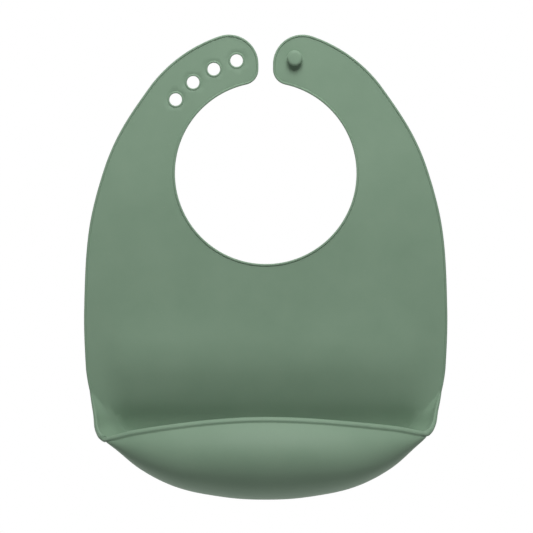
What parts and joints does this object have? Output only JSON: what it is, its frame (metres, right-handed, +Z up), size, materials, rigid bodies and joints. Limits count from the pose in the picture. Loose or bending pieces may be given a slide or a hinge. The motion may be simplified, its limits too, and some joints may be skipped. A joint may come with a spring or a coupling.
{
  "type": "silicone bib",
  "caption": "Flat silicone baby bib with a round neck opening, curved straps closing by a stud through adjusting holes, and a deep rimmed crumb-catcher pocket.",
  "frame": {"origin": "centre of the round neck opening, in the flat back face of the sheet", "axes": "+Z up from the pocket towards the straps, -Y out of the front face, +X towards the stud's strap"},
  "size_m": [0.234, 0.0518, 0.2984],
  "materials": {
    "silicone": "soft matte, sage green"
  },
  "bodies": {
    "upper_apron": {"upper_apron": "silicone"},
    "lower_apron": {"lower_apron": "silicone"},
    "pocket": {"pocket_wall": "silicone", "pocket_rim": "silicone"},
    "left_shoulder": {"left_shoulder": "silicone"},
    "left_strap": {"left_strap": "silicone"},
    "left_tab": {"left_tab": "silicone"},
    "right_shoulder": {"right_shoulder": "silicone"},
    "right_strap": {"right_strap": "silicone"},
    "right_tab": {"right_tab": "silicone", "closure_stud": "silicone"}
  },
  "joints": [
    {"name": "left_wrap", "type": "hinge", "parent": "upper_apron", "child": "left_shoulder", "pos_m": [0, 0, 0], "axis": [-0.848, 0, -0.5299], "range_deg": [-12, 33.8], "stiffness_Nm_per_rad": 0.05},
    {"name": "left_wrap_mid", "type": "hinge", "parent": "left_shoulder", "child": "left_strap", "pos_m": [0, 0, 0], "axis": [-0.9998, 0, -0.0175], "range_deg": [-8.6, 23.86], "stiffness_Nm_per_rad": 0.03},
    {"name": "left_wrap_end", "type": "hinge", "parent": "left_strap", "child": "left_tab", "pos_m": [0, 0, 0], "axis": [-0.866, 0, 0.5], "range_deg": [-7.4, 20.48], "stiffness_Nm_per_rad": 0.02},
    {"name": "right_wrap", "type": "hinge", "parent": "upper_apron", "child": "right_shoulder", "pos_m": [0, 0, 0], "axis": [-0.848, 0, 0.5299], "range_deg": [-12, 37.4], "stiffness_Nm_per_rad": 0.05},
    {"name": "right_wrap_mid", "type": "hinge", "parent": "right_shoulder", "child": "right_strap", "pos_m": [0, 0, 0], "axis": [-0.9998, 0, 0.0175], "range_deg": [-8.6, 26.38], "stiffness_Nm_per_rad": 0.03},
    {"name": "right_wrap_end", "type": "hinge", "parent": "right_strap", "child": "right_tab", "pos_m": [0, 0, 0], "axis": [-0.866, 0, -0.5], "range_deg": [-7.4, 22.64], "stiffness_Nm_per_rad": 0.02},
    {"name": "apron_fold", "type": "hinge", "parent": "upper_apron", "child": "lower_apron", "pos_m": [0, -0.0011, -0.104], "axis": [1, 0, 0], "range_deg": [-25, 25], "stiffness_Nm_per_rad": 0.12, "springref_deg": -4.58},
    {"name": "pocket_flex", "type": "hinge", "parent": "lower_apron", "child": "pocket", "pos_m": [0, -0.0008, -0.1955], "axis": [1, 0, 0], "range_deg": [0, 15], "stiffness_Nm_per_rad": 0.06, "springref_deg": -14.32}
  ],
  "couplings": [
    {"joint": "left_wrap_mid", "follows": "left_wrap", "ratio": 0.7},
    {"joint": "left_wrap_end", "follows": "left_wrap", "ratio": 0.6},
    {"joint": "right_wrap_mid", "follows": "right_wrap", "ratio": 0.7},
    {"joint": "right_wrap_end", "follows": "right_wrap", "ratio": 0.6}
  ]
}
